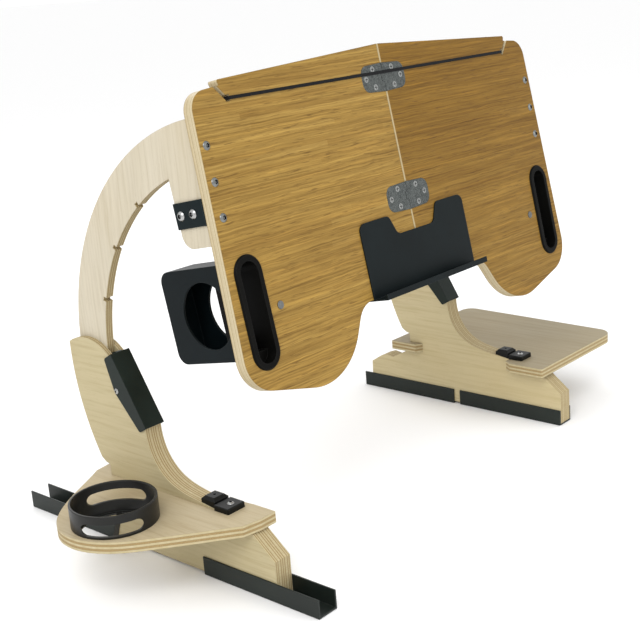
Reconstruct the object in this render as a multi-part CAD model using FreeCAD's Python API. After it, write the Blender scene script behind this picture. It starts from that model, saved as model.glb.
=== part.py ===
"""Over-lap stand for a laptop or a book, with two tilting arms, a cup shelf and a mouse tray.

The user sits on the -Y side and looks along +Y. X runs to the user's right, Z is up and
the floor is Z = 0. The desk (panels, arms, pockets) turns about one axis along X, the arc
centre. Everything is first built with that axis at Y = 0 and the desk's middle at X = 0,
then moved so that the origin is at the bottom centre of the whole object's box.
"""
import FreeCAD
import Part

import math
import os

V = FreeCAD.Vector
X_AXIS = V(1, 0, 0)

# ---------------------------------------------------------------- driving dimensions, mm
# Tilt geometry
PIVOT_Z = 219.0            # height of the arc centre
LEAN = 11.2                # desk lean back from vertical in the upright position, degrees
TILT_TRAVEL = 52.5         # how far the desk can be laid further back, degrees
ARC_OUT = 250.0            # arm arc, outer radius
ARC_IN = 205.0             # arm arc, inner radius
ARC_FOOT = -6.0            # world angle of the arm's lower end when upright, degrees
NOTCH_ANGLE = -1.42        # world angle of the engaged notch when upright, degrees
NOTCH_STEP = 17.5          # angle between the arm's notches, degrees
NOTCH_COUNT = 4
NOTCH_DEPTH = 4.2
NOTCH_WIDTH = 4.6

# Legs: two plywood cheeks glued on a core
LEG_FACE = 280.0           # outer face of a leg from the desk's middle
CHEEK_T = 6.0
CORE_T = 9.6
ARM_T = 9.0
LEG_T = 2 * CHEEK_T + CORE_T
WOOD_BOTTOM = 2.1          # the legs stand inside the foot channels
NOSE_Y = -22.0             # front end of the wood
TAIL_Y = 290.0             # rear end of the wood
CHANNEL_GAP = 0.4          # room between core and arm, along the radius

# Shelves
SHELF_TOP = 78.0
SHELF_T = 12.0
SHELF_LOW = SHELF_TOP - SHELF_T
WEB_FRONT = 54.0           # the leg between the shelf's two arms
WEB_REAR = 196.5
ARM_ROOM_Y = 207.4         # the shelf's rear arm is notched up to here for the swinging arm
TRAY_REACH = 440.0         # outer edge of the mouse tray from the desk's middle
TRAY_NOSE = 431.0          # the same at its front corner
TRAY_FRONT = -4.5
TRAY_BACK = 243.5
SHELF_REACH = 401.5        # outer edge of the cup shelf from the desk's middle

# Cup ring
CUP_X = -350.5
CUP_Y = 125.0
CUP_R = 44.0
CUP_WALL = 2.8
CUP_TOP = SHELF_TOP + 23.5
CUP_LIP = 4.0              # ledge that the cup stands on
CUP_STRAP = 5.0            # width of the strap across the ring's floor
WINDOW_HALF = 30.0         # half length of the ring's oval windows
WINDOW_LOW = SHELF_TOP + 2.6
WINDOW_HIGH = CUP_TOP - 8.5
WINDOW_TURN = -43.0        # the windows' direction about Z, degrees from Y

# Clips that hold the shelves down
CLIP_PLATE_Y = (35.0, 55.5)
CLIP_BLOCK_Y = (57.0, 76.0)
CLIP_SCREW_Y = 44.0

# Foot channels
FOOT_L = 157.0
FOOT_H = 20.0
FOOT_WALL = 1.8
FOOT_PLAY = 0.3
FOOT_GAP = 10.0            # between the two channels when both are in
FOOT_TRAVEL = 75.0
FRONT_OUT = 55.0           # how far the left front foot is drawn out
FOOT_PIN_R = 2.5
FRONT_PIN_Y = 40.0
REAR_PIN_Y = 262.0

# Desk panel, in desk coordinates: U along X, S up the panel, N out of its front face
FACE_N = 16.0              # front face from the tilt axis
PANEL_T = 12.0
BACK_N = FACE_N - PANEL_T
SEAM_TOP = 291.0
SEAM_HALF_GAP = 0.3
SEAM_BEVEL = 1.2
TONGUE_END = (240.0, 279.0)
SLOT_END = (230.5, 261.0)
SLOT_W = 4.0
BAND_S = 261.0
BAND_W = 3.2
BAND_T = 1.0
CUTOUT_S = 34.0            # top of the cut-out under the book rest

# Grey plugs on the panel's face
PLUG_U = 223.4
PLUG_S = 62.5
PLUG_R = 4.0

# Saddles that tie the arms to the panel
SCREW_ROWS = (222.5, 189.0, 156.0)
SADDLE_S = 164.5
SADDLE_HALF = 12.5
SADDLE_BOLTS = (17.0, 34.0)
SADDLE_T = 1.8
RIB_REAR = 41.0            # rear edge of the arm's rib, behind the tilt axis
RIB_LOW = 132.0

# Flap hinges on the panel's seam
HINGE_S = (255.7, 128.0)
HINGE_HALF_W = 36.0
HINGE_H = 30.0
HINGE_T = 3.0
HINGE_KNUCKLE = 3.6
HINGE_GAP = 0.35           # from the seam to each leaf
HINGE_PIN_R = 0.8
HINGE_SCREWS = ((16.0, 9.5), (29.0, 0.0), (16.0, -9.5))

# Pockets
POCKET_U = 255.0
POCKET_W = 36.0
POCKET_TALL = 111.0
POCKET_MID = 63.0
POCKET_WALL = 2.2
POCKET_DEPTH = 93.0        # behind the panel
POCKET_HOLE_R = 33.0
POCKET_LOW = 21.0          # the box behind the panel, along the panel
POCKET_HIGH = 114.0
MOUTH_INSET = 6.5          # from the rim's outline to its opening
SLEEVE_INSET = 2.5
SLEEVE_DEPTH = 20.0        # how far the rim's sleeve reaches behind the panel

# Book rest
REST_HALF = 91.0
REST_TOP = 113.0
REST_T = 1.6
LEDGE_REACH = 18.0
LEDGE_LIP = 6.0

# Latch
LATCH_PIVOT = (188.2, 179.9)
LATCH_T = 1.5
LATCH_PLAY = 0.35
LATCH_PIN_R = 2.5
LATCH_RELIEF = 3.2         # the leg's front edge falls back this far above the pivot
SPRING_T = 0.6
SPRING_HALF_W = 4.0
SPRING_SEAT = 8.0             # depth of the spring's notch from the leg's front edge
EDGE_LOW = (151.0, 146.0)  # lower end of the straight front edge behind the latch
EDGE_HIGH = (192.0, 216.0)

MIDDLE_Y = (NOSE_Y - FRONT_OUT + NOSE_Y + 2 * FOOT_L + FOOT_GAP + FOOT_TRAVEL) / 2.0
MOVE = V((SHELF_REACH - TRAY_REACH) / 2.0, -MIDDLE_Y, 0)

# ---------------------------------------------------------------- helpers


def polar(radius, degrees):
    """A (y, z) point on a circle about the tilt axis."""
    angle = math.radians(degrees)
    return (radius * math.cos(angle), PIVOT_Z + radius * math.sin(angle))


def in_yz(point, x=0.0):
    return V(x, point[0], point[1])


def in_xy(point, z=0.0):
    return V(point[0], point[1], z)


def in_xz(point, y=0.0):
    return V(point[0], y, point[1])


def corner_cut(before, corner, after, radius):
    """Tangent points and middle of the arc that rounds one corner."""
    a = V(before[0] - corner[0], before[1] - corner[1], 0)
    b = V(after[0] - corner[0], after[1] - corner[1], 0)
    a.normalize()
    b.normalize()
    half = a.getAngle(b) / 2.0
    reach = radius / math.tan(half)
    centre_way = a + b
    centre_way.normalize()
    centre = centre_way * (radius / math.sin(half))
    middle = centre - centre_way * radius
    return [(corner[0] + p.x, corner[1] + p.y) for p in (a * reach, middle, b * reach)]


def rounded_face(corners, place):
    """A flat face from (a, b, radius) corners; place() puts (a, b) in space."""
    edges = []
    last = None
    first = None
    count = len(corners)
    for i in range(count):
        before = corners[i - 1]
        corner = corners[i]
        after = corners[(i + 1) % count]
        if corner[2] > 0:
            start, middle, end = corner_cut(before, corner, after, corner[2])
            arc = Part.Arc(place(start), place(middle), place(end)).toShape()
        else:
            start = end = (corner[0], corner[1])
            arc = None
        if last is None:
            first = start
        elif (place(last) - place(start)).Length > 1e-6:
            edges.append(Part.makeLine(place(last), place(start)))
        if arc is not None:
            edges.append(arc)
        last = end
    if (place(last) - place(first)).Length > 1e-6:
        edges.append(Part.makeLine(place(last), place(first)))
    return Part.Face(Part.Wire(edges))


def slab_x(corners, x0, x1):
    """A plate whose outline is in Y and Z."""
    return rounded_face(corners, lambda p: in_yz(p, x0)).extrude(V(x1 - x0, 0, 0))


def slab_z(corners, z0, z1):
    """A plate whose outline is in X and Y."""
    return rounded_face(corners, lambda p: in_xy(p, z0)).extrude(V(0, 0, z1 - z0))


def slab_n(corners, n0, n1):
    """A desk plate whose outline is in U and S, from n0 to n1 in front of the axis."""
    return rounded_face(corners, lambda p: in_xz(p, -n0)).extrude(V(0, n0 - n1, 0))


def box(x0, x1, y0, y1, z0, z1):
    return Part.makeBox(x1 - x0, y1 - y0, z1 - z0, V(x0, y0, z0))


def rod(radius, start, end):
    way = V(*end) - V(*start)
    return Part.makeCylinder(radius, way.Length, V(*start), way)


def disc_x(radius, x0, x1, centre_z=PIVOT_Z):
    return Part.makeCylinder(radius, x1 - x0, V(x0, 0, centre_z), X_AXIS)


def join(shapes):
    result = shapes[0]
    for shape in shapes[1:]:
        result = result.fuse(shape)
    return result.removeSplitter()


def cut(shape, tools):
    for tool in tools:
        shape = shape.cut(tool)
    return shape


def mirror(shape):
    """The same piece on the other side of the desk."""
    return shape.mirror(V(0, 0, 0), X_AXIS)


def desk(shape):
    """Lean a piece built on an upright desk (axis at the origin) back to its place."""
    placed = shape.copy()
    placed.rotate(V(0, 0, 0), X_AXIS, -LEAN)
    placed.translate(V(0, 0, PIVOT_Z))
    return placed


def save(name, shape):
    moved = shape.copy()
    moved.translate(MOVE)
    moved.exportStep("parts/" + name + ".step")


def both(name, shape, place=None):
    """Save a right-hand piece and its mirrored left-hand twin."""
    if place is not None:
        shape = place(shape)
    save("right_" + name, shape)
    save("left_" + name, mirror(shape))


# ---------------------------------------------------------------- legs


def leg_face(x):
    """Outline of a cheek, as a face at one x."""
    rear_high = polar(261.5, 1.0)
    rear_low = polar(261.5, -28.0)
    outline = [
        (NOSE_Y, WOOD_BOTTOM),
        (NOSE_Y, 42.0),
        (7.6, SHELF_LOW),
        (WEB_FRONT, SHELF_LOW),
        (WEB_FRONT, SHELF_TOP - 0.5),
    ]
    edges = []
    for a, b in zip(outline, outline[1:]):
        edges.append(Part.makeLine(in_yz(a, x), in_yz(b, x)))
    sweep = Part.BSplineCurve()
    sweep.interpolate([in_yz(p, x) for p in (
        outline[-1], (97.0, 84.0), (125.0, 94.0), (142.0, 111.0), (149.5, 130.0), EDGE_LOW)])
    edges.append(sweep.toShape())
    low, along, back, reach = latch_frame()
    side = V(x, 0, 0)
    knee = low + along * (V(0, *LATCH_PIVOT) - low).dot(along) + side
    high = low + along * reach + back * LATCH_RELIEF + side
    edges.append(Part.makeLine(low + side, knee))
    edges.append(Part.makeLine(knee, high))
    crown = Part.Arc(high, in_yz((227.0, 231.0), x), in_yz(rear_high, x))
    edges.append(crown.toShape())
    back = Part.Arc(in_yz(rear_high, x), in_yz(polar(261.5, -14.0), x), in_yz(rear_low, x))
    edges.append(back.toShape())
    tail = [
        rear_low,
        (224.0, 91.5),
        (218.0, 90.0),
        (218.0, SHELF_TOP + 0.2),
        (WEB_REAR, SHELF_TOP + 0.2),
        (WEB_REAR, SHELF_LOW),
        (219.0, SHELF_LOW),
        (231.0, 60.0),
        (250.0, 50.0),
        (262.0, 52.0),
        (272.0, 48.5),
        (289.0, 38.0),
        (TAIL_Y, WOOD_BOTTOM),
        (NOSE_Y, WOOD_BOTTOM),
    ]
    for a, b in zip(tail, tail[1:]):
        edges.append(Part.makeLine(in_yz(a, x), in_yz(b, x)))
    return Part.Face(Part.Wire(edges))


def cheek(x0):
    plate = leg_face(x0).extrude(V(CHEEK_T, 0, 0))
    hole = rod(LATCH_PIN_R, (x0 - 1, *LATCH_PIVOT), (x0 + CHEEK_T + 1, *LATCH_PIVOT))
    return plate.cut(hole)


def arm_channel(x0, x1):
    """Room for the arm's arc between the cheeks, down to its end stop."""
    ring = disc_x(ARC_OUT + CHANNEL_GAP, x0, x1).cut(disc_x(ARC_IN - CHANNEL_GAP, x0, x1))
    stop = -60.3
    wedge = [(0, PIVOT_Z, 0)]
    for degrees in (stop, -30.0, 0.0, 20.0):
        wedge.append((*polar(400.0, degrees), 0))
    return ring.common(slab_x(wedge, x0, x1))


def cores(x0):
    """The leg's middle layer: a front piece, and a rear piece in two solids where the
    arm's channel cuts off the upper strip."""
    layer = leg_face(x0).extrude(V(CORE_T, 0, 0))
    parts = layer.cut(arm_channel(x0 - 1, x0 + CORE_T + 1)).Solids
    parts.sort(key=lambda s: s.CenterOfMass.y)
    front, rear = parts[0], Part.makeCompound(parts[1:])
    pivot = rod(LATCH_PIN_R, (x0 - 1, *LATCH_PIVOT), (x0 + CORE_T + 1, *LATCH_PIVOT))
    tooth_room = box(x0 - 1, x0 + CORE_T + 1, 150, 260, 200, 260)
    mid = x0 + CORE_T / 2.0
    spring_room = spring_pocket(x0 - 1, x0 + CORE_T + 1)
    front = cut(front, [pivot, tooth_room, spring_room])
    front = front.cut(rod(FOOT_PIN_R, (mid, FRONT_PIN_Y, 0), (mid, FRONT_PIN_Y, 16)))
    rear = rear.cut(rod(FOOT_PIN_R, (mid, REAR_PIN_Y, 0), (mid, REAR_PIN_Y, 16)))
    return front, rear


def foot(y0, pin_at_front):
    """A steel channel under one half of a leg, with a slot for its retaining pin."""
    inner = LEG_T / 2.0 + FOOT_PLAY
    outer = inner + FOOT_WALL
    mid = LEG_FACE - LEG_T / 2.0
    y1 = y0 + FOOT_L
    shell = box(mid - outer, mid + outer, y0, y1, 0, FOOT_H)
    hollow = box(mid - inner, mid + inner, y0 - 1, y1 + 1, FOOT_WALL, FOOT_H + 1)
    if pin_at_front:
        s0 = FRONT_PIN_Y
        s1 = FRONT_PIN_Y + FOOT_TRAVEL
    else:
        s0 = REAR_PIN_Y - FOOT_TRAVEL
        s1 = REAR_PIN_Y
    r = FOOT_PIN_R + 0.3
    slot = box(mid - r, mid + r, s0, s1, -1, FOOT_WALL + 1)
    ends = [rod(r, (mid, y, -1), (mid, y, FOOT_WALL + 1)) for y in (s0, s1)]
    channel = cut(shell, [hollow, slot] + ends)
    rims = [e for e in channel.Edges if abs(e.CenterOfMass.z - FOOT_H) < 0.01 and e.Length > 50]
    return channel.makeFillet(0.6, rims)


def foot_pins():
    mid = LEG_FACE - LEG_T / 2.0
    pins = [rod(FOOT_PIN_R, (mid, y, 0.5), (mid, y, 16)) for y in (FRONT_PIN_Y, REAR_PIN_Y)]
    return Part.makeCompound(pins)


# ---------------------------------------------------------------- arms


def arm():
    """Arc and rib cut from one plywood sheet, on the upright desk."""
    x1 = LEG_FACE - CHEEK_T - (CORE_T - ARM_T) / 2.0
    x0 = x1 - ARM_T
    back = -BACK_N + 0.3
    outer = Part.makeCylinder(ARC_OUT, ARM_T, V(x0, 0, 0), X_AXIS)
    inner = Part.makeCylinder(ARC_IN, ARM_T, V(x0, 0, 0), X_AXIS)
    foot_angle = ARC_FOOT + LEAN

    def ray(degrees, radius=420.0):
        a = math.radians(degrees)
        return (radius * math.cos(a), radius * math.sin(a), 0)

    quarter = slab_x([(back, 0, 0), ray(foot_angle), ray(45.0), (back, 420.0, 0)], x0, x1)
    arc = outer.cut(inner).common(quarter)
    rib = slab_x([(back, RIB_LOW, 3), (RIB_REAR, RIB_LOW, 14), (RIB_REAR, 300.0, 0),
                  (back, 300.0, 0)], x0, x1)
    sheet = join([arc, rib.common(outer)])
    engaged = NOTCH_ANGLE + LEAN
    for i in range(NOTCH_COUNT):
        notch = box(x0 - 1, x1 + 1, ARC_IN - 3, ARC_IN + NOTCH_DEPTH,
                    -NOTCH_WIDTH / 2.0, NOTCH_WIDTH / 2.0)
        notch.rotate(V(0, 0, 0), X_AXIS, engaged + i * NOTCH_STEP)
        sheet = sheet.cut(notch)
    for s in SCREW_ROWS:
        mid = (x0 + x1) / 2.0
        sheet = sheet.cut(rod(2.0, (mid, back - 1, s), (mid, 18.0, s)))
    for y in SADDLE_BOLTS:
        sheet = sheet.cut(rod(3.0, (x0 - 1, y, SADDLE_S), (x1 + 1, y, SADDLE_S)))
    return sheet


def saddle():
    """Steel saddle round the arm's rib, with two flanges against the panel's back."""
    x1 = LEG_FACE - CHEEK_T - (CORE_T - ARM_T) / 2.0
    x0 = x1 - ARM_T
    back = -BACK_N
    low = SADDLE_S - SADDLE_HALF
    high = SADDLE_S + SADDLE_HALF
    shell = box(x0 - SADDLE_T, x1 + SADDLE_T, back, RIB_REAR + SADDLE_T, low, high)
    rims = [e for e in shell.Edges if e.CenterOfMass.y > RIB_REAR and e.Length > 20]
    shell = shell.makeFillet(1.5, [e for e in rims if abs(e.CenterOfMass.z - SADDLE_S) < 1])
    shell = shell.cut(box(x0, x1, back - 1, RIB_REAR, low - 1, high + 1))
    inner_flange = box(x0 - SADDLE_T - 11, x0 - SADDLE_T, back, back + SADDLE_T, low, high)
    outer_flange = box(x1 + SADDLE_T, x1 + SADDLE_T + 4.5, back, back + SADDLE_T, low, high)
    bracket = join([shell, inner_flange, outer_flange])
    for y in SADDLE_BOLTS:
        bracket = bracket.cut(rod(3.0, (x0 - 9, y, SADDLE_S), (x1 + 9, y, SADDLE_S)))
    return bracket


def dome_screw(start, way, shank_r, shank_l, head_r, head_h, socket_r):
    """A dome-headed socket screw: its head sits on start and its shank runs along way."""
    way = V(*way)
    start = V(*start)
    shank = Part.makeCylinder(shank_r, shank_l, start, way)
    dome_r = (head_r ** 2 + head_h ** 2) / (2.0 * head_h)
    ball = Part.makeSphere(dome_r, start - way * (head_h - dome_r))
    head = Part.makeCylinder(head_r, head_h, start, way * -1).common(ball)
    points = []
    side = way.cross(V(0.3, 0.5, 0.8))
    side.normalize()
    other = way.cross(side)
    for i in range(7):
        a = math.radians(60 * i)
        points.append(start - way * (head_h + 1) + side * (socket_r * math.cos(a))
                      + other * (socket_r * math.sin(a)))
    socket = Part.Face(Part.makePolygon(points)).extrude(way * (1 + head_h * 0.7))
    return shank.fuse(head).cut(socket).removeSplitter()


def saddle_bolts():
    """Two bolts through saddle and rib, each with a dome nut of the same shape."""
    x1 = LEG_FACE - CHEEK_T - (CORE_T - ARM_T) / 2.0 + SADDLE_T
    x0 = x1 - ARM_T - 2 * SADDLE_T
    bolts = []
    for y in SADDLE_BOLTS:
        bolts.append(dome_screw((x1, y, SADDLE_S), (-1, 0, 0), 3.0, x1 - x0, 4.8, 2.6, 2.5))
        nut = dome_screw((x0, y, SADDLE_S), (1, 0, 0), 1.0, 0.01, 4.8, 2.6, 2.5)
        bolts[-1] = bolts[-1].fuse(nut).removeSplitter()
    return Part.makeCompound(bolts)


def panel_screws():
    """Three screws through the panel into the edge of the arm's rib."""
    mid = LEG_FACE - LEG_T / 2.0
    screws = []
    for s in SCREW_ROWS:
        screws.append(dome_screw((mid, -FACE_N, s), (0, 1, 0), 2.0, 30.0, 4.4, 2.0, 2.3))
    return Part.makeCompound(screws)


# ---------------------------------------------------------------- latches


def latch_frame():
    """Direction along the latch web, its normal towards the arm, and its lower end."""
    low = in_yz(EDGE_LOW)
    along = in_yz(EDGE_HIGH) - low
    reach = along.Length
    along.normalize()
    back = V(0, along.z, -along.y)
    return low, along, back, reach


def latch():
    """A bent steel rocker: web on the leg's front edge, two side flanges and a tooth."""
    low, along, back, reach = latch_frame()
    half = LEG_T / 2.0 + LATCH_PLAY
    mid = LEG_FACE - LEG_T / 2.0
    gap = 1.2

    def at(a, b):
        p = low + along * a + back * b
        return (p.y, p.z)

    top = reach + 3.0
    web = slab_x([(*at(-2, -gap), 0), (*at(top, -gap), 0), (*at(top, -gap - LATCH_T), 0),
                  (*at(-2, -gap - LATCH_T), 0)], mid - half - LATCH_T, mid + half + LATCH_T)
    middle = (V(0, *LATCH_PIVOT) - low).dot(along)
    side = [(*at(-2, -gap - LATCH_T), 0), (*at(-2, 9.5), 3), (*at(middle, 19.0), 10),
            (*at(top, 11.0), 3), (*at(top, -gap - LATCH_T), 0)]
    outer = slab_x(side, mid + half, mid + half + LATCH_T)
    inner = slab_x(side, mid - half - LATCH_T, mid - half)
    tip = polar(ARC_IN - 0.4, -1.15)
    root = at(top, -gap - LATCH_T)
    tooth = slab_x([(tip[0], tip[1] - 1.2, 0), (tip[0], tip[1] + 1.2, 0),
                    (root[0] + 3.0, root[1], 0), (root[0], root[1], 0),
                    (*at(top - 3.5, -gap), 0)], mid - 4.2, mid + 4.2)
    rocker = join([web, outer, inner, tooth])
    bore = rod(LATCH_PIN_R + 0.05, (mid - 20, *LATCH_PIVOT), (mid + 20, *LATCH_PIVOT))
    return rocker.cut(bore)


def latch_pin():
    """Shoulder screw that the rocker turns on, through both cheeks and the core."""
    mid = LEG_FACE - LEG_T / 2.0
    reach = LEG_T / 2.0 + LATCH_PLAY + LATCH_T + 0.3
    screw = dome_screw((mid + reach, *LATCH_PIVOT), (-1, 0, 0), LATCH_PIN_R, 2 * reach,
                       3.2, 1.3, 1.4)
    tail = dome_screw((mid - reach, *LATCH_PIVOT), (1, 0, 0), 1.0, 0.01, 3.2, 1.3, 1.4)
    return screw.fuse(tail).removeSplitter()


def latch_spring():
    """Folded leaf spring that pushes the rocker's lower end out, so that its tooth goes in."""
    low, along, back, _ = latch_frame()
    mid = LEG_FACE - LEG_T / 2.0
    t = SPRING_T
    leaf = [(3.0, SPRING_SEAT), (15.0, SPRING_SEAT), (15.0, SPRING_SEAT - t),
            (3.0 + 2 * t, SPRING_SEAT - t), (14.6, -0.4), (14.1, -0.85), (3.0, SPRING_SEAT - t)]
    corners = []
    for a, b in leaf:
        p = low + along * a + back * b
        corners.append((p.y, p.z, 0))
    return slab_x(corners, mid - SPRING_HALF_W, mid + SPRING_HALF_W)


def spring_pocket(x0, x1):
    """Notch in the core's front edge that holds the leaf spring."""
    low, along, back, _ = latch_frame()
    corners = []
    for a, b in ((2.0, -9.0), (16.0, -9.0), (16.0, SPRING_SEAT), (2.0, SPRING_SEAT)):
        p = low + along * a + back * b
        corners.append((p.y, p.z, 0))
    return slab_x(corners, x0, x1)


# ---------------------------------------------------------------- desk panels


def panel():
    """Right half of the desk panel on the upright desk."""
    u0 = SEAM_HALF_GAP
    outline = [
        (u0, SEAM_TOP, 0),
        (TONGUE_END[0], TONGUE_END[1], 2),
        (238.0, 273.5, 0),
        (246.0, 273.0, 0),
        (276.0, 270.5, 20),
        (285.5, -5.0, 36),
        (152.0, -39.0, 70),
        (109.0, CUTOUT_S, 26),
        (u0, CUTOUT_S, 0),
    ]
    board = slab_n(outline, BACK_N, FACE_N)
    return cut(board, [seam_bevel()] + band_slot() + hinge_recesses() + panel_holes())


def seam_bevel():
    """Small bevel along the seam's front edge, which shows the board's pale core."""
    edge = SEAM_HALF_GAP - 0.1
    deep = SEAM_BEVEL + 0.1
    wedge = [(edge, -FACE_N - 0.1, 0), (edge + deep + 0.1, -FACE_N - 0.1, 0),
             (edge, -FACE_N + deep, 0)]
    return slab_z(wedge, CUTOUT_S - 1, SEAM_TOP + 1)


def band_slot():
    """Slanted slot at the end of the tongue, with a seat for the band at its bottom."""
    way = V(TONGUE_END[0] + 3.5 - SLOT_END[0], 0, 275.5 - SLOT_END[1])
    way.normalize()
    side = V(way.z, 0, -way.x) * (SLOT_W / 2.0)
    bottom = V(SLOT_END[0], 0, SLOT_END[1] - 2.0)
    top = bottom + way * 40
    corners = [bottom - side, top - side, top + side, bottom + side]
    slot = slab_n([(p.x, p.z, 0) for p in corners], BACK_N - 1, FACE_N + 1)
    seat = slab_n([(227.8, 257.8, 1), (233.0, 257.8, 1), (233.0, 264.2, 1),
                   (227.8, 264.2, 1)], BACK_N - 1, FACE_N + 1)
    return [slot, seat]


def hinge_outline(half_w, height, mid, u0):
    r = 10.0
    return [(u0, mid + height / 2, 0), (half_w, mid + height / 2 - 1.5, r),
            (half_w, mid - height / 2 + 1.5, r), (u0, mid - height / 2, 0)]


def hinge_recesses():
    tools = []
    for s in HINGE_S:
        outline = hinge_outline(HINGE_HALF_W + 0.2, HINGE_H + 0.4, s, 0.0)
        tools.append(slab_n(outline, FACE_N - HINGE_T, FACE_N + 1))
        for u, v in HINGE_SCREWS:
            tools.append(rod(1.5, (u, -FACE_N, s + v), (u, -FACE_N + 11.0, s + v)))
    return tools


def panel_holes():
    """Pocket opening, screw holes for the arm, and the seat of the grey plug."""
    mid = LEG_FACE - LEG_T / 2.0
    tools = [pocket_outline(1.8, BACK_N - 1, FACE_N + 1)]
    for s in SCREW_ROWS:
        tools.append(rod(2.0, (mid, -FACE_N - 1, s), (mid, -BACK_N + 1, s)))
    tools.append(rod(PLUG_R, (PLUG_U, -FACE_N - 1, PLUG_S), (PLUG_U, -FACE_N + 6, PLUG_S)))
    return tools


def pocket_outline(inset, n0, n1):
    """An upright oval of the pocket's size, less an inset all round."""
    w = POCKET_W / 2.0 - inset
    h = POCKET_TALL / 2.0 - inset
    r = w - 0.05
    corners = [(POCKET_U + a, POCKET_MID + b, r)
               for a, b in ((-w, -h), (w, -h), (w, h), (-w, h))]
    return slab_n(corners, n0, n1)


def pocket_rim():
    """Bevelled oval ring that lines the opening in the panel."""
    flange = pocket_outline(0.0, FACE_N, FACE_N + 2.2)
    front = [e for e in flange.Edges if abs(e.CenterOfMass.y + FACE_N + 2.2) < 0.01]
    flange = flange.makeChamfer(1.6, front)
    neck = pocket_outline(2.0, BACK_N, FACE_N + 0.1)
    inner_low = POCKET_LOW + POCKET_WALL + 0.2
    inner_high = POCKET_HIGH - POCKET_WALL - 0.2
    half = POCKET_W / 2.0
    rear_n = BACK_N - SLEEVE_DEPTH

    def between(low, high, n0, n1):
        return box(POCKET_U - half, POCKET_U + half, -n1, -n0, low, high)

    sleeve = pocket_outline(SLEEVE_INSET, rear_n, BACK_N + 0.1).common(
        between(inner_low, inner_high, rear_n, BACK_N + 0.1))
    mouth = pocket_outline(MOUTH_INSET, BACK_N + 2.0, FACE_N + 4)
    throat = pocket_outline(MOUTH_INSET, rear_n - 1, BACK_N + 2.1).common(
        between(inner_low + 2.0, inner_high - 2.0, rear_n - 1, BACK_N + 2.1))
    return cut(join([flange, neck, sleeve]), [mouth, throat])


def pocket_box():
    """Box behind the panel, with a round window in each side wall."""
    w = POCKET_W / 2.0
    low, high = POCKET_LOW, POCKET_HIGH
    rear = -BACK_N + POCKET_DEPTH
    front = -BACK_N

    def block(inset, y0):
        outline = [(y0, low + inset, 0), (rear - inset, low + inset, 12 - inset),
                   (rear - inset, high - inset, 12 - inset), (y0, high - inset, 0)]
        return slab_x(outline, POCKET_U - w + inset, POCKET_U + w - inset)

    shell = block(0.0, front).cut(block(POCKET_WALL, front - 1))
    window = rod(POCKET_HOLE_R, (POCKET_U - w - 1, 29.5 + BACK_N, 67.0),
                 (POCKET_U + w + 1, 29.5 + BACK_N, 67.0))
    flange = box(POCKET_U - w - 6, POCKET_U - w + 0.1, front, front + 2, low + 8, high - 8)
    return join([shell.cut(window), flange])


def plug():
    return rod(PLUG_R, (PLUG_U, -FACE_N - 0.6, PLUG_S), (PLUG_U, -FACE_N + 6, PLUG_S))


# ---------------------------------------------------------------- flap hinges


def hinge_leaf(s, has_middle):
    """Right-hand leaf. The one with the middle knuckle reaches over the seam."""
    outline = hinge_outline(HINGE_HALF_W, HINGE_H, s, HINGE_GAP)
    leaf = slab_n(outline, FACE_N - HINGE_T, FACE_N)
    third = HINGE_H / 3.0
    if has_middle:
        knuckle = slab_n([(-HINGE_KNUCKLE + HINGE_GAP, s - third / 2 + 0.15, 0),
                          (1.0, s - third / 2 + 0.15, 0), (1.0, s + third / 2 - 0.15, 0),
                          (-HINGE_KNUCKLE + HINGE_GAP, s + third / 2 - 0.15, 0)],
                         FACE_N - HINGE_T, FACE_N)
        leaf = join([leaf, knuckle])
        pin_u = -HINGE_KNUCKLE / 2.0
    else:
        room = box(-1, HINGE_KNUCKLE + HINGE_GAP, -FACE_N - 1, -FACE_N + HINGE_T + 1,
                   s - third / 2 - 0.15, s + third / 2 + 0.15)
        leaf = leaf.cut(room)
        pin_u = HINGE_KNUCKLE / 2.0
    pin_y = -FACE_N + HINGE_T / 2.0
    bore = rod(HINGE_PIN_R + 0.03, (pin_u, pin_y, s - 40), (pin_u, pin_y, s + 40))
    tools = [bore]
    for u, v in HINGE_SCREWS:
        tools.append(rod(1.5, (u, -FACE_N - 1, s + v), (u, -FACE_N + HINGE_T + 1, s + v)))
        cone = Part.makeCone(3.2, 1.5, 1.7, V(u, -FACE_N, s + v), V(0, 1, 0))
        tools.append(cone)
    return cut(leaf, tools)


def hinge_pin(s):
    pin_y = -FACE_N + HINGE_T / 2.0
    u = -HINGE_KNUCKLE / 2.0
    half = HINGE_H / 2.0 - 0.4
    return rod(HINGE_PIN_R, (u, pin_y, s - half), (u, pin_y, s + half))


def hinge_screws(s):
    """Six countersunk screws, flush with the leaves."""
    screws = []
    for side in (-1, 1):
        for u, v in HINGE_SCREWS:
            head = Part.makeCone(3.2, 1.5, 1.7, V(side * u, -FACE_N, s + v), V(0, 1, 0))
            shank = rod(1.5, (side * u, -FACE_N + 1.7, s + v), (side * u, -FACE_N + 11, s + v))
            a = box(side * u - 2.1, side * u + 2.1, -FACE_N - 1, -FACE_N + 0.9,
                    s + v - 0.35, s + v + 0.35)
            b = box(side * u - 0.35, side * u + 0.35, -FACE_N - 1, -FACE_N + 0.9,
                    s + v - 2.1, s + v + 2.1)
            screws.append(cut(head.fuse(shank).removeSplitter(), [a, b]))
    return Part.makeCompound(screws)


# ---------------------------------------------------------------- band and book rest


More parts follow.
